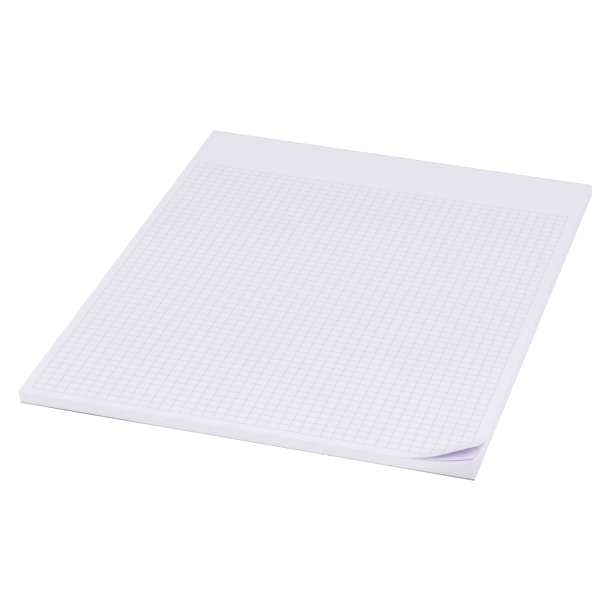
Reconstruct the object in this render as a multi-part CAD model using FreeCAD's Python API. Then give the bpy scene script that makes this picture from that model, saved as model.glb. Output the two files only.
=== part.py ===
"""Writing pad: fifty sheets glued at the head on a grey back board, one corner thumbed up.

Millimetres. The pad lies on its board: X runs across the page to the right, Y from the foot
edge to the glued head edge, Z up. The origin is the middle of the footprint, on the underside.
"""
import FreeCAD, Part
import math
import os
from collections import namedtuple
from FreeCAD import Vector

# ---- sheets, board and glue ---------------------------------------------------------------
page_width = 210.0        # A4, across the page
page_length = 297.0       # A4, foot to head
sheet_count = 50
sheet_thickness = 0.108   # 80 g/m2 writing paper
board_thickness = 0.60
glue_thickness = 0.30     # film of padding glue on the head edge
glue_rounding = 0.15      # the brushed film thins out at its outer edges
pile_lean = 0.8           # the top sheet lies this far to the left of the board

# ---- the thumbed corner, at the right-hand end of the foot edge ----------------------------
# Each fold runs straight across the corner. A sheet leaves the pile tangentially, follows an
# arc and ends in a flat flap. reach is the distance from the fold line to the sheet's corner.
Fold = namedtuple("Fold", "reach radius angle")

fold_heading = -48.0      # plan direction from the fold line to the corner, degrees from +X
top_reach = 22.5
top_radius = 21.0
top_angle = 37.4
second_setback = 0.5      # the second sheet's fold line lies this much nearer the corner
second_radius = 48.0
second_angle = 24.6
pile_setback = 2.8        # and the fold line of the sheets below, this much nearer again
pile_radius = 40.0
pile_angle = 24.3
crack = 0.03              # a gap between sheets starts where they stand this far apart

top_fold = Fold(top_reach, top_radius, math.radians(top_angle))
second_fold = Fold(top_reach - second_setback, second_radius, math.radians(second_angle))
pile_fold = Fold(second_fold.reach - pile_setback, pile_radius, math.radians(pile_angle))

# ---- places that follow from the sizes -----------------------------------------------------
pile_height = sheet_count * sheet_thickness
pile_bottom = board_thickness
pile_top = pile_bottom + pile_height
second_top = pile_top - sheet_thickness
third_top = second_top - sheet_thickness

board_left = (pile_lean - page_width) / 2
board_right = board_left + page_width
foot_y = -(page_length + glue_thickness) / 2
head_y = foot_y + page_length

heading = math.radians(fold_heading)
fold_way = Vector(math.cos(heading), math.sin(heading), 0)
overrun = 5.0             # how far a blank runs past the edges that trim it
span = page_width + page_length


def lean_at(z):
    """How far the sheet at height z lies to the left of the board."""
    return pile_lean * (z - pile_bottom) / pile_height


def sheet_corner(z):
    """The thumbed corner of a sheet at height z, before it was lifted."""
    return Vector(board_right - lean_at(z), foot_y, 0)


def turn_at(fold, distance):
    """How far a sheet has turned, in radians, this far past its fold line."""
    return min(distance / fold.radius, fold.angle)


def bent(fold, distance):
    """Where a point this far past the fold line ends up: (distance along the plan, rise)."""
    turned = turn_at(fold, distance)
    flap = distance - turned * fold.radius
    along = fold.radius * math.sin(turned) + flap * math.cos(turned)
    rise = fold.radius * (1 - math.cos(turned)) + flap * math.sin(turned)
    return along, rise


def crack_run(fold):
    """How far past its fold line a sheet has risen by the width of the crack."""
    return fold.radius * math.acos(1 - crack / fold.radius)


def polyline(points):
    """Straight edges through the points."""
    return [Part.LineSegment(a, b).toShape() for a, b in zip(points, points[1:])]


def curled_edges(fold, z, depth=0.0):
    """Section of a lifted surface, fold line first: its arc, then its flap with an overrun.

    Drawn with X as the distance along the fold's heading from the sheet's corner and Z as the
    height. depth is how far the surface lies above the outside of the bend, at height z.
    """
    turned = turn_at(fold, fold.reach)
    radius = fold.radius - depth
    centre = Vector(-fold.reach, 0, z + fold.radius)

    def on_arc(turn):
        return centre + Vector(radius * math.sin(turn), 0, -radius * math.cos(turn))

    flap = fold.reach - fold.radius * turned + overrun
    arc_end = on_arc(turned)
    flap_end = arc_end + Vector(flap * math.cos(turned), 0, flap * math.sin(turned))
    arc = Part.Arc(on_arc(0), on_arc(turned / 2), arc_end).toShape()
    return [arc] + polyline([arc_end, flap_end]), on_arc(0), flap_end


def section_solid(edges, corner):
    """Extrude a closed section along the fold line, and set it at a sheet's corner."""
    face = Part.Face(Part.Wire(Part.__sortEdges__(edges)))
    solid = face.extrude(Vector(0, 2 * span, 0))
    solid.translate(Vector(0, -span, 0))
    solid.rotate(Vector(0, 0, 0), Vector(0, 0, 1), fold_heading)
    solid.translate(corner)
    return solid


def leaning_prism(bottom, top):
    """The page outline pushed up from one height to another along the lean of the pile."""
    left = board_left - lean_at(bottom)
    outline = Part.makePlane(page_width, page_length, Vector(left, foot_y, bottom))
    return outline.extrude(Vector(lean_at(bottom) - lean_at(top), 0, top - bottom))


def edge_in_plan(fold, corner, along_edge):
    """Plan of one lifted page edge, from the fold line to the corner of the bent sheet.

    along_edge is the unit vector from the corner along the flat edge.
    """
    slope = -along_edge.dot(fold_way)

    def plan(distance):
        flat = corner + along_edge * ((fold.reach - distance) / slope)
        return flat + fold_way * (bent(fold, distance)[0] - distance)

    arc_length = fold.radius * turn_at(fold, fold.reach)
    steps = 8
    curve = Part.BSplineCurve()
    curve.interpolate([plan(arc_length * i / steps) for i in range(steps + 1)])
    edges = [curve.toShape()]
    if arc_length < fold.reach:
        edges += polyline([plan(arc_length), plan(fold.reach)])
    return edges, plan(0)


def lifted_leaf(fold, z):
    """One sheet's lifted corner, from its fold line outwards, its underside at height z."""
    corner = sheet_corner(z)
    under, under_start, under_end = curled_edges(fold, z)
    over, over_start, over_end = curled_edges(fold, z, sheet_thickness)
    tail = Vector(-overrun, 0, 0)
    root = polyline([under_start, under_start + tail, over_start + tail, over_start])
    blank = section_solid(under + over + root + polyline([under_end, over_end]), corner)

    front, front_start = edge_in_plan(fold, corner, Vector(-1, 0, 0))
    side, side_start = edge_in_plan(fold, corner, Vector(0, 1, 0))
    outline = Part.Wire(Part.__sortEdges__(front + side + polyline([front_start, side_start])))
    trim = Part.Face(outline).extrude(Vector(0, 0, fold.reach + sheet_thickness))
    trim.translate(Vector(0, 0, z))
    return blank.common(trim)


def fanned_pile():
    """The pile under the two lifted leaves, its corner fanned up, with a step for each leaf."""
    top_edge, fan_start, fan_end = curled_edges(pile_fold, third_top)
    second_step = crack_run(second_fold) - second_fold.reach
    top_step = crack_run(top_fold) - top_fold.reach
    rest = [
        fan_start,
        Vector(second_step, 0, third_top),
        Vector(second_step, 0, second_top),
        Vector(top_step, 0, second_top),
        Vector(top_step, 0, pile_top),
        Vector(-span, 0, pile_top),
        Vector(-span, 0, pile_bottom),
        Vector(fan_end.x, 0, pile_bottom),
        fan_end,
    ]
    blank = section_solid(top_edge + polyline(rest), sheet_corner(third_top))
    return blank.common(leaning_prism(pile_bottom, pile_top + pile_fold.reach))


def page_block():
    """All the sheets as one solid, with the gaps of the thumbed corner open."""
    leaves = [lifted_leaf(second_fold, third_top), lifted_leaf(top_fold, second_top)]
    return fanned_pile().fuse(leaves).removeSplitter()


def back_board():
    """Plain grey board, cut together with the sheets."""
    return Part.makeBox(page_width, page_length, board_thickness,
                        Vector(board_left, foot_y, 0))


def head_glue():
    """Film of padding glue over the head edge of the board and the leaning sheets."""
    top_left = board_left - lean_at(pile_top)
    outline = [
        Vector(board_left, head_y, 0),
        Vector(board_right, head_y, 0),
        Vector(board_right, head_y, pile_bottom),
        Vector(top_left + page_width, head_y, pile_top),
        Vector(top_left, head_y, pile_top),
        Vector(board_left, head_y, pile_bottom),
        Vector(board_left, head_y, 0),
    ]
    film = Part.Face(Part.makePolygon(outline)).extrude(Vector(0, glue_thickness, 0))
    outer_y = head_y + glue_thickness
    outer = [e for e in film.Edges if all(abs(v.Y - outer_y) < 1e-6 for v in e.Vertexes)]
    return film.makeFillet(glue_rounding, outer)


parts = {"page_block": page_block, "back_board": back_board, "head_glue": head_glue}

os.makedirs("parts", exist_ok=True)
for node, build in parts.items():
    shape = build()
    if len(shape.Solids) == 1:
        shape = shape.Solids[0]
    shape.exportStep("parts/" + node + ".step")
    box = shape.optimalBoundingBox(False, False)
    print(node, shape.ShapeType, "valid" if shape.isValid() else "NOT VALID",
          "solids", len(shape.Solids), "volume %.1f mm3" % shape.Volume,
          "box %.2f %.2f %.2f .. %.2f %.2f %.2f" % (box.XMin, box.YMin, box.ZMin,
                                                   box.XMax, box.YMax, box.ZMax))
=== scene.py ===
# %% [markdown]
# # A squared writing pad
# The pad is a pile of fifty thin sheets on a grey board, held by a film of glue along the head
# edge. One corner of the foot edge has been thumbed, so its top sheets curl up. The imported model
# already has the right outline and thickness. This lesson turns its plain block of pages into
# real sheets, prints the ruling on them, and finishes the board and the glue.

import math

import bpy
from mathutils import Matrix, Vector


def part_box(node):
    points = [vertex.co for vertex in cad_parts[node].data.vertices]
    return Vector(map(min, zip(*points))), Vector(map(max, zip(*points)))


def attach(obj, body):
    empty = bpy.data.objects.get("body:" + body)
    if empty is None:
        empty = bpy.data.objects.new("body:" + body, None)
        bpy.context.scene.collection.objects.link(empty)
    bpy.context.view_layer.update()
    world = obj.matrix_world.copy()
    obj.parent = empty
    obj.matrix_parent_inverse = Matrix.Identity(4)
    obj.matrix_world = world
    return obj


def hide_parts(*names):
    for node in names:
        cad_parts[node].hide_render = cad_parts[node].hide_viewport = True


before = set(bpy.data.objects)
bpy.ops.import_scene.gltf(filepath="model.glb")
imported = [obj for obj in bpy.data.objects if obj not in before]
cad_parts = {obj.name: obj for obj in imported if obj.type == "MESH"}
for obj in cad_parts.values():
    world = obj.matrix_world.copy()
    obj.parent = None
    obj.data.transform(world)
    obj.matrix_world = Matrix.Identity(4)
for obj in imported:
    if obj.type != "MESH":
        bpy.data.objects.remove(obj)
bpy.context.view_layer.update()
print("nodes:", sorted(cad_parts))

# %% [markdown]
# ## Sizes
# Every place comes from the frame, so the pad stays whole if the model is packed again. The
# glue covers the head edge from top to bottom, so its height is the height of the flat pile.
# The pile leans: its top sheet lies a little to the left of the board, and a hair further at
# the foot than at the head. Only the sheets show that last hair, so it is kept here.

# %% Read the pad's sizes from the frame
MM = 0.001
board_low, board_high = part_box("back_board")
page_width = board_high.x - board_low.x
page_length = board_high.y - board_low.y
page_middle_x = (board_low.x + board_high.x) / 2
page_middle_y = (board_low.y + board_high.y) / 2
pile_bottom = board_high.z
pile_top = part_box("head_glue")[1].z
pile_lean = board_low.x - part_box("page_block")[0].x
sheet_count = 50
sheet_pitch = (pile_top - pile_bottom) / sheet_count
splay = 0.25 * MM           # how much further left the foot of the top sheet lies than its head
print(f"page {page_width / MM:.1f} x {page_length / MM:.1f} mm, sheet {sheet_pitch / MM:.3f} mm,"
      f" lean {pile_lean / MM:.2f} mm")

# %% [markdown]
# ## Writing node trees as sums
# A shader or a Geometry Nodes tree is mostly arithmetic, and arithmetic reads best as a formula.
# `Value` wraps one output socket, and each operator on it adds a Math node. The reflected forms
# let a plain number stand first, as in `1 - mask`.

# %% A socket that can be added and multiplied
def plug(tree, item, slot):
    """Link a Value to an input, or set the input to a plain value."""
    if isinstance(item, Value):
        tree.links.new(item.socket, slot)
    else:
        slot.default_value = item


class Value:
    """One output socket. An operator on it adds a Math node to its tree."""

    def __init__(self, socket):
        self.socket = socket
        self.tree = socket.id_data

    def math(self, operation, *items):
        node = self.tree.nodes.new("ShaderNodeMath")
        node.operation = operation
        for item, slot in zip(items, node.inputs):
            plug(self.tree, item, slot)
        return Value(node.outputs[0])

    def __add__(self, other):
        return self.math("ADD", self, other)

    def __radd__(self, other):
        return self.math("ADD", other, self)

    def __sub__(self, other):
        return self.math("SUBTRACT", self, other)

    def __rsub__(self, other):
        return self.math("SUBTRACT", other, self)

    def __mul__(self, other):
        return self.math("MULTIPLY", self, other)

    def __rmul__(self, other):
        return self.math("MULTIPLY", other, self)

    def __truediv__(self, other):
        return self.math("DIVIDE", self, other)

    def __rtruediv__(self, other):
        return self.math("DIVIDE", other, self)

    def at_least(self, other):
        return self.math("MAXIMUM", self, other)

    def at_most(self, other):
        return self.math("MINIMUM", self, other)

    def above(self, other):
        return self.math("GREATER_THAN", self, other)

    def below(self, other):
        return self.math("LESS_THAN", self, other)

    def sine(self):
        return self.math("SINE", self)

    def cosine(self):
        return self.math("COSINE", self)

    def size(self):
        return self.math("ABSOLUTE", self)

    def to_nearest_line(self, spacing):
        """Distance to the nearest of a row of lines with this spacing."""
        return self.math("PINGPONG", self, spacing / 2)


print("operators ready")

# %% [markdown]
# Math nodes carry single numbers only: a colour that goes through one turns grey. Colours,
# vectors and everything else go through `Graph.node`, which adds a node of any type.

# %% A tree that any node can be added to
class Graph:
    """A node tree, with one method that adds any node to it."""

    def __init__(self, tree):
        self.tree = tree

    def node(self, kind, settings=None, sockets=None, output=0):
        """Add a node: its settings first, then the values or links of its inputs."""
        made = self.tree.nodes.new(kind)
        for name, setting in (settings or {}).items():
            setattr(made, name, setting)
        for name, item in (sockets or {}).items():
            plug(self.tree, item, made.inputs[name])
        return Value(made.outputs[output])

    def split(self, vector):
        """The X, Y and Z of a vector."""
        first = self.node("ShaderNodeSeparateXYZ", sockets={0: vector})
        return [Value(s) for s in first.socket.node.outputs]

    def vector(self, x, y, z):
        return self.node("ShaderNodeCombineXYZ", sockets={0: x, 1: y, 2: z})

    def close(self, kind, result):
        """End the tree with an output node of this kind."""
        plug(self.tree, result, self.tree.nodes.new(kind).inputs[0])


print("graphs ready")

# %% [markdown]
# ## How a sheet of paper curls
# Paper bends but doesn't stretch. A lifted corner therefore bends about one straight fold line:
# the sheet leaves the pile along it, follows an arc, and its tip stays flat. Only three numbers
# are needed: `reach`, from the fold line to the corner, and the `radius` and `angle` of the arc.
# The top sheet is curled most. The second sheet and the pile below it curl less, nearly alike.

# %% The three folds of the thumbed corner
fold_heading = math.radians(-48)     # plan direction from the fold line to the corner
folds = {
    "top_sheet": dict(reach=22.5 * MM, radius=21.0 * MM, angle=math.radians(37.4)),
    "second_sheet": dict(reach=22.0 * MM, radius=48.0 * MM, angle=math.radians(24.6)),
    "sheet_pile": dict(reach=19.2 * MM, radius=40.0 * MM, angle=math.radians(24.3)),
}
for name, fold in folds.items():
    print(name, "curls", round(math.degrees(fold["angle"]), 1), "degrees")

# %% [markdown]
# ## A tree that makes curled sheets
# Fifty sheets could be fifty modelled boxes, but a rule describes them all: a thin box, repeated
# upwards, shifted a hair at random, and bent by an amount that depends on its place in the pile.
# That is work for Geometry Nodes. The next cells write the tree one step at a time, and in each
# of them `put` holds the tree's inputs by name.
#
# It starts with one flat sheet. The curl shows only near one corner, so the grid of the sheet is
# finest there: most of its divisions fall in a strip along the two edges that meet at the corner.

# %% Lay one flat sheet
fine_share = 0.7            # the share of the divisions that falls in the fine strip


def spread(part, whole, strip):
    """Distance from the corner's edge, for a point this part of the way across."""
    near = strip * (part / fine_share).at_most(1)
    far = (whole - strip) * (part - fine_share).at_least(0) / (1 - fine_share)
    return near + far


def flat_sheet(g, put):
    """A thin box around the origin, with its underside at height 0."""
    count = put["Divisions"] + 1
    box = g.node("GeometryNodeMeshCube", sockets={
        "Size": (1, 1, 1), "Vertices X": count, "Vertices Y": count, "Vertices Z": 2})
    x, y, z = g.split(g.node("GeometryNodeInputPosition"))
    from_right = spread(0.5 - x, put["Width"], put["Fine Strip"])
    from_foot = spread(y + 0.5, put["Length"], put["Fine Strip"])
    depth = (z + 0.5) * put["Thickness"]
    flat = g.vector(put["Width"] / 2 - from_right, from_foot - put["Length"] / 2, depth)
    return g.node("GeometryNodeSetPosition", sockets={"Geometry": box, "Position": flat})


print("first step: a sheet with", fine_share, "of its divisions near the corner")

# %% [markdown]
# The ruling and the bend both need each point's place on the flat sheet, and the finish needs to
# know which faces are cut edges and which are printed. Once a sheet is bent, none of this can be
# read off it any more, so it is stored on the mesh first. `page` becomes the UV map of the
# ruling, so the lines will follow the curl.

# %% Keep what the flat sheet knows
def keep(g, geometry, name, value, kind="FLOAT", domain="FACE"):
    """Store a value on the geometry, under a name."""
    return g.node("GeometryNodeStoreNamedAttribute", {"data_type": kind, "domain": domain},
                  {"Geometry": geometry, "Name": name, "Value": value})


def marked_sheet(g, put):
    """The flat sheet with its places kept, and its cut and printed faces marked."""
    place = g.node("GeometryNodeInputPosition")
    x, y, _ = g.split(place)
    page = g.vector(x / put["Width"] + 0.5, y / put["Length"] + 0.5, 0)
    up = g.split(g.node("GeometryNodeInputNormal"))[2]
    sheet = keep(g, flat_sheet(g, put), "page", page, "FLOAT2", "CORNER")
    sheet = keep(g, sheet, "cut_edge", up.size().below(0.5))
    sheet = keep(g, sheet, "printed", up.above(0.5))
    return keep(g, sheet, "flat_place", place, "FLOAT_VECTOR", "POINT")


print("second step: places kept")

# %% [markdown]
# A pile could be an Array modifier, but then every sheet would lie exactly on the last. Real
# sheets lie a hair out of line, and each shows a slightly different tone at its cut edge. Points
# with a copy of the sheet on each allow both. They climb one pitch a sheet and step to the left
# as the pile leans. The copies are made real here, because each is going to bend differently.

# %% Stack the sheets
def chance(g, put, low, high, row):
    """A random number for each sheet. Each row is another set of numbers."""
    return g.node("FunctionNodeRandomValue", {"data_type": "FLOAT"},
                  {2: low, 3: high, "Seed": put["Seed"] + row}, output=1)


def stacked_sheets(g, put):
    """All the sheets, still flat, with their share of the height and their tone kept."""
    start = g.vector(put["Middle X"] - put["First Lean"], put["Middle Y"], put["First Height"])
    column = g.node("GeometryNodeMeshLine", sockets={
        "Count": put["Sheets"], "Start Location": start,
        "Offset": g.vector(0 - put["Lean Step"], 0, put["Pitch"])})
    nudge = g.vector(chance(g, put, -1.0, 1.0, 0) * put["Jitter"],
                     chance(g, put, -1.0, 1.0, 1) * put["Jitter"], 0)
    column = g.node("GeometryNodeSetPosition", sockets={"Geometry": column, "Offset": nudge})
    pile = g.node("GeometryNodeInstanceOnPoints",
                  sockets={"Points": column, "Instance": marked_sheet(g, put)})
    height_share = (g.node("GeometryNodeInputIndex") + 1) / put["Sheets"]
    pile = keep(g, pile, "height_share", height_share, domain="INSTANCE")
    pile = keep(g, pile, "sheet_tone", chance(g, put, 0.0, 1.0, 2), domain="INSTANCE")
    return g.node("GeometryNodeRealizeInstances", sockets={"Geometry": pile})


print("third step: the pile")

# %% [markdown]
# How far a point lies past the fold line decides how far it turns and rises: along the arc
# first, then straight on along the flat tip. The lower a sheet lies, the less it turns, so the
# fan fades to nothing at the board. `Fill` thickens each sheet towards the turn of the next one,
# because the cut edges of a fanned pile still touch nearly everywhere. A Simple Deform modifier
# bends things too, but only about an axis of the object, and it can't do this sheet by sheet.

# %% Bend the corner
def kept_value(g, name, kind="FLOAT"):
    return g.node("GeometryNodeInputNamedAttribute", {"data_type": kind}, {"Name": name})


def bent_sheets(g, put):
    """All the sheets, with the thumbed corner bent about its fold line."""
    x, y, depth = g.split(kept_value(g, "flat_place", "FLOAT_VECTOR"))
    height_share = kept_value(g, "height_share")
    way_x, way_y = put["Heading"].cosine(), put["Heading"].sine()
    past = ((x - put["Width"] / 2) * way_x + (y + put["Length"] / 2) * way_y
            + put["Reach"]).at_least(0)
    filled = depth / put["Thickness"] * put["Fill"] / put["Sheets"]
    turn = (past / put["Radius"]).at_most(put["Angle"] * (height_share + filled))
    flap = past - turn * put["Radius"]
    inner = put["Radius"] - depth
    along = inner * turn.sine() + flap * turn.cosine()
    rise = put["Radius"] - inner * turn.cosine() + flap * turn.sine()
    leftward = put["Splay"] * height_share * (0.5 - y / put["Length"])
    shift = g.vector((along - past) * way_x - leftward, (along - past) * way_y, rise - depth)
    return g.node("GeometryNodeSetPosition",
                  sockets={"Geometry": stacked_sheets(g, put), "Offset": shift})


print("fourth step: the bend")

# %% [markdown]
# Last, the tree gets its inputs, and Set Material at its end. The inputs are named after what a
# maker would measure, so one tree can make the pile and each lifted leaf.

# %% Build the sheet tree
sheet_inputs = {
    "NodeSocketInt": ("Sheets", "Divisions", "Seed"),
    "NodeSocketFloat": ("Pitch", "Thickness", "Width", "Length", "Middle X", "Middle Y",
                        "First Height", "First Lean", "Lean Step", "Reach", "Radius", "Angle",
                        "Heading", "Fill", "Splay", "Fine Strip", "Jitter"),
    "NodeSocketMaterial": ("Paper",),
}


def sheet_tree():
    """Geometry Nodes tree: a pile of sheets with one corner bent about a fold line."""
    tree = bpy.data.node_groups.new("curled_sheets", "GeometryNodeTree")
    tree.interface.new_socket("Geometry", in_out="OUTPUT", socket_type="NodeSocketGeometry")
    for kind, names in sheet_inputs.items():
        for name in names:
            tree.interface.new_socket(name, in_out="INPUT", socket_type=kind)
    g = Graph(tree)
    put = {s.name: Value(s) for s in tree.nodes.new("NodeGroupInput").outputs if s.name}
    finished = g.node("GeometryNodeSetMaterial",
                      sockets={"Geometry": bent_sheets(g, put), "Material": put["Paper"]})
    g.close("NodeGroupOutput", finished)
    return tree


sheets_tree = sheet_tree()
print("sheet tree:", len(sheets_tree.nodes), "nodes")

# %% [markdown]
# ## The ruling
# The ruling is printed in a thin grey violet ink, forty squares by fifty, with a blank band at
# the head. An image of the ruling would blur when seen close, so it is worked out instead: each
# point's distance to the nearest line of a 5 mm row says whether it carries ink. It reads the
# `page` map, so the lines bend with the sheet.

# %% Sizes of the ruling
square = 5.0                          # millimetres, on the page
squares_across, squares_down = 40, 50
left_margin = 4.9
foot_margin = 4.9
upright_width = 0.21
level_width = 0.27                    # the level lines are printed a little heavier
line_softness = 0.05                  # the ink creeps into the paper, so its edge is soft
line_end_softness = 0.04
ruled_width, ruled_length = squares_across * square, squares_down * square
print("ruled field", ruled_width, "x", ruled_length, "mm; blank head",
      round(page_length / MM - foot_margin - ruled_length, 1), "mm")

# %% [markdown]
# Printed ink is never quite even, so a fine noise thins it here and there. Where two lines
# cross, the ink lies thicker than on one line, but not twice as thick.

# %% Print the lines
ink_at_crossings = 1.35               # as a share of the ink on one line
thinnest_ink, ink_variation = 0.62, 0.50


def noise(g, where, scale, detail=3.0, roughness=0.55):
    return g.node("ShaderNodeTexNoise", {"noise_dimensions": "3D"},
                  {"Vector": where, "Scale": scale, "Detail": detail, "Roughness": roughness})


def soft_step(value, edge, softness):
    """1 below the edge and 0 above it, with a narrow slope between."""
    return ((edge - value) / softness + 0.5).at_least(0).at_most(1)


def marked(g, name):
    """A mark that the sheet tree left on the mesh."""
    return g.node("ShaderNodeAttribute", {"attribute_name": name}, output=2)


def ruling(g, x, y, body):
    """How much ink a point carries. x and y are millimetres from the first lines."""
    upright = soft_step(x.to_nearest_line(square), upright_width / 2, line_softness)
    level = soft_step(y.to_nearest_line(square), level_width / 2, line_softness)
    half_width, half_length = ruled_width / 2, ruled_length / 2
    in_field = (soft_step((x - half_width).size(), half_width + upright_width / 2,
                          line_end_softness)
                * soft_step((y - half_length).size(), half_length + level_width / 2,
                            line_end_softness))
    uneven = noise(g, body, 900.0) * ink_variation + thinnest_ink
    return (upright + level).at_most(ink_at_crossings) * in_field * marked(g, "printed") * uneven


print("ruling ready")

# %% [markdown]
# ## The paper
# The paper is uncoated and very slightly violet, as bleached writing paper is. A flat colour
# would look like plastic, so it gets a soft cloudiness, and fine fibres that also roughen it.
# The cut edges show the sheets one by one, each in its own tone, and the last millimetre or so
# at the head is stained by the glue that soaked in. All finishes are fed to their shaders in the
# same way, so short helpers come first.

# %% Helpers for a finish
def empty_graph(owner):
    """The emptied node tree of a material or a world."""
    owner.use_nodes = True
    owner.node_tree.nodes.clear()
    return Graph(owner.node_tree)


def new_material(name):
    """A material with one Principled shader, its graph and the shader's node."""
    material = bpy.data.materials.new(name)
    g = empty_graph(material)
    shader = g.node("ShaderNodeBsdfPrincipled")
    g.close("ShaderNodeOutputMaterial", shader)
    return material, g, shader.socket.node


def mix(g, factor, first, second):
    """Mix two colours."""
    return g.node("ShaderNodeMix", {"data_type": "RGBA"}, {0: factor, 6: first, 7: second},
                  output=2)


def feed(g, shader, colour, roughness, relief, strength, depth):
    """Give the shader its colour, its roughness and a fine relief of this depth."""
    plug(g.tree, colour, shader.inputs["Base Color"])
    plug(g.tree, roughness, shader.inputs["Roughness"])
    bump = g.node("ShaderNodeBump", None,
                  {"Strength": strength, "Distance": depth, "Height": relief})
    plug(g.tree, bump, shader.inputs["Normal"])


print("finish helpers ready")

# %% Make the paper
page_shades = (0.897, 0.872, 0.957, 1), (0.927, 0.902, 0.979, 1)
cut_edge_shades = (0.890, 0.884, 0.955, 1), (0.955, 0.948, 0.990, 1)
glue_stain = (0.760, 0.750, 0.830, 1)
stain_reach, stain_softness = 1.4, 0.8       # millimetres from the head edge
stain_strength = 0.35
ink_colour = (0.545, 0.525, 0.592, 1)
ink_cover, most_cover = 0.80, 0.90


def squared_paper():
    material, g, shader = new_material("squared_paper")
    u, v, _ = g.split(g.node("ShaderNodeUVMap", {"uv_map": "page"}))
    body = g.node("ShaderNodeTexCoord", output=3)
    cloud = noise(g, body, 28.0, detail=4.0)
    fibre = noise(g, body, 2600.0, detail=2.0)
    tone = marked(g, "sheet_tone")
    white = mix(g, cloud, *page_shades)
    edge = mix(g, tone * 0.7 + fibre * 0.3, *cut_edge_shades)
    sheet = mix(g, marked(g, "cut_edge"), white, edge)
    from_head = (1 - v) * (page_length / MM)
    stained = soft_step(from_head, stain_reach, stain_softness) * stain_strength
    sheet = mix(g, stained, sheet, glue_stain)
    ink = ruling(g, u * (page_width / MM) - left_margin, v * (page_length / MM) - foot_margin,
                 body)
    inked = mix(g, (ink * ink_cover).at_most(most_cover), sheet, ink_colour)
    feed(g, shader, inked, 0.82 + fibre * 0.12, fibre, strength=0.12, depth=0.03 * MM)
    shader.inputs["Specular IOR Level"].default_value = 0.25      # uncoated, so it hardly shines
    return material


paper = squared_paper()
print("paper:", len(paper.node_tree.nodes), "nodes")

# %% [markdown]
# ## Making the sheets
# The same tree makes all the paper. It runs three times with other numbers: for the 48 sheets of
# the pile, whose fan fades to nothing at the board, and once each for the two lifted leaves,
# which get more divisions because their curl shows. Each result becomes a plain mesh: the tree
# rides on a spare object as a modifier, Blender works it out, and the spare object goes again.

# %% Run the tree
def run_tree(name, numbers):
    """Run the sheet tree with these numbers, and give its result as a plain mesh."""
    holder = bpy.data.objects.new(name + "_tree", bpy.data.meshes.new(name + "_tree"))
    bpy.context.scene.collection.objects.link(holder)
    modifier = holder.modifiers.new("sheets", "NODES")
    modifier.node_group = sheets_tree
    for item in sheets_tree.interface.items_tree:
        if item.in_out == "INPUT":
            modifier[item.identifier] = numbers[item.name]
    evaluated = holder.evaluated_get(bpy.context.evaluated_depsgraph_get())
    mesh = bpy.data.meshes.new_from_object(evaluated)
    holder.modifiers.remove(modifier)
    bpy.data.objects.remove(holder)
    mesh.calc_loop_triangles()
    highest = max(v.co.z for v in mesh.vertices)
    print(name, len(mesh.loop_triangles), "triangles, up to", round(highest / MM, 2), "mm")
    return mesh


# %% Make the pile and the two leaves
thickness_share = 0.94      # of the pitch: a sheet lies loosely on the next
fine_strip = 2 * folds["second_sheet"]["reach"]      # wide enough to hold the whole curl
loose = sheet_count - 2     # sheets in the pile, under the two leaves


def make_sheets(name, sheets, first, divisions, fill=0.0, jitter=0.0, seed=7):
    """Sheets number first and up, as one plain mesh that rides on the pad."""
    fold = folds[name]
    mesh = run_tree(name, {
        "Sheets": sheets, "Pitch": sheet_pitch, "Thickness": sheet_pitch * thickness_share,
        "Width": page_width, "Length": page_length,
        "Middle X": page_middle_x, "Middle Y": page_middle_y,
        "First Height": pile_bottom + first * sheet_pitch,
        "First Lean": pile_lean * (first + 1) / sheet_count,
        "Lean Step": pile_lean / sheet_count,
        "Reach": fold["reach"], "Radius": fold["radius"], "Angle": fold["angle"],
        "Heading": fold_heading, "Fill": fill, "Splay": splay, "Divisions": divisions,
        "Fine Strip": fine_strip, "Jitter": jitter, "Seed": seed, "Paper": paper,
    })
    mesh.name = name
    mesh.shade_smooth()
    mesh.set_sharp_from_angle(angle=math.radians(40))      # a smooth curl, and crisp cut edges
    piece = bpy.data.objects.new(name, mesh)
    bpy.context.scene.collection.objects.link(piece)
    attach(piece, "root")
    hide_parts("page_block")


make_sheets("sheet_pile", sheets=loose, first=0, divisions=24, fill=0.35, jitter=0.05 * MM)
make_sheets("second_sheet", sheets=1, first=loose, divisions=64)
make_sheets("top_sheet", sheets=1, first=loose + 1, divisions=96)

# %% [markdown]
# ## The grey board
# The imported board has the right shape, so it keeps it and only gets a finish. Grey board is
# pressed from waste paper: a dull grey with darker and lighter flecks. Its foot edge keeps that
# grey, with shade painted on: pale a little right of its middle and darker towards both ends,
# where the lifted corners leave a shadow gap under the pad. The right edge is nearly white. The
# board is flat and plain, so all of this reads Object coordinates and needs no map of its own.
# A face that looks along X or Y is told by its place.

# %% Where shade is painted on the foot edge
least_shaded_middle = 13.6                     # millimetres, right of the board's own middle
least_shaded_reach, shade_fade = 45.0, 40.0       # pale this far each way, and darkening with painted shade over this much more
left_end_reach, left_end_softness = 15.0, 13.0
left_end_relief, right_half_relief = 0.55, 0.20      # how much less painted shade the foot edge gets there


def foot_edge_painted_shade(g, x):
    """0 where the board's foot edge is palest and 1 where it gets the most painted shade."""
    across = (x - page_middle_x) / MM
    painted_dark = (((across - least_shaded_middle).size() - least_shaded_reach) / shade_fade).at_least(0).at_most(1)
    painted_dark = painted_dark * painted_dark * (3 - 2 * painted_dark)
    left_end = soft_step(across + page_width / MM / 2, left_end_reach, left_end_softness)
    return painted_dark * (1 - left_end * left_end_relief - across.above(0) * right_half_relief)


print("foot edge pale for", 2 * least_shaded_reach, "mm")

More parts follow.
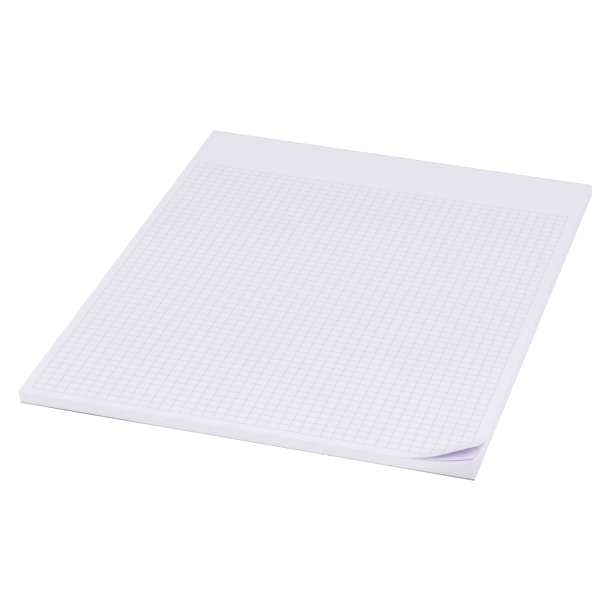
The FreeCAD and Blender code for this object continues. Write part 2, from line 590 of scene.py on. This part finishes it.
# %% Finish the board
board_shades = (0.470, 0.460, 0.450, 1), (0.590, 0.580, 0.565, 1)
dark_fleck, pale_fleck = (0.220, 0.210, 0.200, 1), (0.700, 0.690, 0.660, 1)
rarely, fleck_strength = 0.36, 0.4     # flecks lie where the noise is this near to 0 or to 1
# The foot edge's own grey, and the dark of the shadow gap painted on it
foot_edge_and_painted_shadow = (0.680, 0.670, 0.660, 1), (0.300, 0.290, 0.280, 1)
right_edge_colour = (0.850, 0.845, 0.875, 1)
edge_depth = 0.02 * MM                 # a point this near to an outer face lies on it


def grey_board():
    material, g, shader = new_material("grey_board")
    body = g.node("ShaderNodeTexCoord", output=3)
    x, y, _ = g.split(body)
    pulp = noise(g, body, 160.0, detail=5.0, roughness=0.65)
    fleck = noise(g, body, 1100.0, detail=2.0)
    board = mix(g, pulp, *board_shades)
    # Painted shade: the foot edge darkens towards both ends in place of the shadow gap under the
    # lifted corners
    foot_edge_shaded = mix(g, foot_edge_painted_shade(g, x), *foot_edge_and_painted_shadow)
    board = mix(g, y.below(board_low.y + edge_depth), board, foot_edge_shaded)
    board = mix(g, x.above(board_high.x - edge_depth), board, right_edge_colour)
    board = mix(g, fleck.below(rarely) * fleck_strength, board, dark_fleck)
    board = mix(g, fleck.above(1 - rarely) * fleck_strength, board, pale_fleck)
    feed(g, shader, board, 0.86 + pulp * 0.10, pulp + fleck * 0.4, strength=0.25, depth=0.05 * MM)
    return material


def finish_node(node, material):
    """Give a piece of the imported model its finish."""
    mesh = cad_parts[node].data
    mesh.materials.clear()
    mesh.materials.append(material)
    print(node, "finished as", material.name)


finish_node("back_board", grey_board())

# %% [markdown]
# ## The glue
# Padding glue is brushed on along the head edge and dries to a slightly glossy white skin, which
# keeps the marks of the brush and a few lumps. The film has the right shape already. Noise that
# is stretched thirty to one along the edge gives the marks, and needs no modelled strokes.

# %% Finish the glue
glue_shades = (0.840, 0.840, 0.850, 1), (0.920, 0.920, 0.925, 1)
along_the_brush, across_the_brush = 30.0, 900.0


def padding_glue():
    material, g, shader = new_material("padding_glue")
    body = g.node("ShaderNodeTexCoord", output=3)
    x, y, z = g.split(body)
    strokes = g.vector(x * along_the_brush, y * across_the_brush, z * across_the_brush)
    brushed = noise(g, strokes, 1.0)
    lumps = noise(g, body, 240.0)
    skin = mix(g, brushed * 0.6 + lumps * 0.4, *glue_shades)
    feed(g, shader, skin, 0.38 + lumps * 0.22, brushed + lumps * 0.5, strength=0.35,
         depth=0.06 * MM)
    return material


finish_node("head_glue", padding_glue())

# %% [markdown]
# ## The floor
# The floor looks white to the camera, and in glossy reflections. It keeps a pale colour for the
# light that falls on it, so the pad still has its soft shadow. The Light Path node tells the
# rays apart. A stronger lamp could whiten the floor too, but it would bleach the paper.

# %% Lay the floor
floor_colour = (0.85, 0.85, 0.85, 1)
floor_lift = 0.40           # added to what the camera sees, so that the floor looks white
pure_white = (1, 1, 1, 1)


def seen_directly(g):
    """1 for rays that the viewer, a gloss or a glass sees, and 0 for light on a surface."""
    path = g.tree.nodes.new("ShaderNodeLightPath")
    seen = Value(path.outputs["Is Camera Ray"])
    for name in ("Is Glossy Ray", "Is Transmission Ray"):
        seen = seen.at_least(Value(path.outputs[name]))
    return seen


def white_floor(half=6.0):
    mesh = bpy.data.meshes.new("floor")
    corners = [(-half, -half, 0), (half, -half, 0), (half, half, 0), (-half, half, 0)]
    mesh.from_pydata(corners, [], [(0, 1, 2, 3)])
    floor = bpy.data.objects.new("floor", mesh)
    bpy.context.scene.collection.objects.link(floor)
    material = bpy.data.materials.new("pale_floor")
    g = empty_graph(material)
    pale = g.node("ShaderNodeBsdfDiffuse", None, {"Color": floor_colour})
    glow = g.node("ShaderNodeEmission", None, {"Color": pure_white, "Strength": floor_lift})
    lifted = g.node("ShaderNodeAddShader", None, {0: pale, 1: glow})
    shown = g.node("ShaderNodeMixShader", None, {0: seen_directly(g), 1: pale, 2: lifted})
    g.close("ShaderNodeOutputMaterial", shown)
    mesh.materials.append(material)
    print("floor laid,", 2 * half, "m square")


white_floor()

# %% [markdown]
# ## The light
# The pad is nearly white on white, so flat, soft light keeps it readable: a bright surrounding,
# one wide lamp above the foot edge, and another far off and low on the right, which keeps that
# side from going grey. Light in the narrow gaps of the thumbed corner has bounced many times
# between white sheets, so it may bounce twelve times before it is given up. With the usual four,
# the gaps come out nearly black.

# %% Light the pad
def soft_surrounding(strength):
    """An even sky of this strength, which looks white to the camera."""
    world = bpy.data.worlds.new("studio")
    bpy.context.scene.world = world
    g = empty_graph(world)
    fill = g.node("ShaderNodeBackground", None, {"Color": pure_white, "Strength": strength})
    white = g.node("ShaderNodeBackground", None, {"Color": pure_white, "Strength": 1.0})
    shown = g.node("ShaderNodeMixShader", None, {0: seen_directly(g), 1: fill, 2: white})
    g.close("ShaderNodeOutputWorld", shown)


def wide_lamp(place, size, power):
    """A square lamp of this size in metres and power in watts, aimed at the pad."""
    lamp = bpy.data.lights.new("wide_lamp", "AREA")
    lamp.shape = "SQUARE"
    lamp.size = size
    lamp.energy = power
    holder = bpy.data.objects.new("wide_lamp", lamp)
    holder.location = place
    holder.rotation_euler = (-place).to_track_quat("-Z", "Y").to_euler()
    bpy.context.scene.collection.objects.link(holder)
    print("lamp", round(place.length, 2), "m away,", power, "W")


soft_surrounding(strength=0.690)
wide_lamp(Vector((0.20, -0.80, 1.08)), size=0.9, power=4.93)
wide_lamp(Vector((3.00, 0.40, 0.30)), size=0.9, power=13.1)
bpy.context.scene.view_settings.view_transform = "Standard"
bpy.context.scene.cycles.diffuse_bounces = 12

# %% [markdown]
# ## Viewpoint
# The pad is seen from above its foot edge and a little from the right, from more than a metre
# away with a long lens, so its sides stay nearly parallel. The camera is also tipped about its
# own line of sight by two degrees, so its axes are worked out one by one.

# %% Set the camera
aim = Vector((-4.32, -28.90, 6.0)) * MM
distance = 1250.4 * MM
azimuth, elevation, roll = (math.radians(a) for a in (14.461, 28.543, 2.026))
forward = Vector((-math.sin(azimuth) * math.cos(elevation),
                  math.cos(azimuth) * math.cos(elevation), -math.sin(elevation)))
level_right = forward.cross(Vector((0, 0, 1))).normalized()
level_up = level_right.cross(forward)
right = level_right * math.cos(roll) + level_up * math.sin(roll)
up = right.cross(forward)
lens = bpy.data.cameras.new("camera")
lens.lens = 153.18
lens.sensor_width = 36.0
camera = bpy.data.objects.new("camera", lens)
camera.matrix_world = Matrix.Translation(aim - forward * distance) @ Matrix(
    (right, up, -forward)).transposed().to_4x4()
bpy.context.scene.collection.objects.link(camera)
bpy.context.scene.camera = camera
print("camera at", [round(c, 3) for c in camera.location])
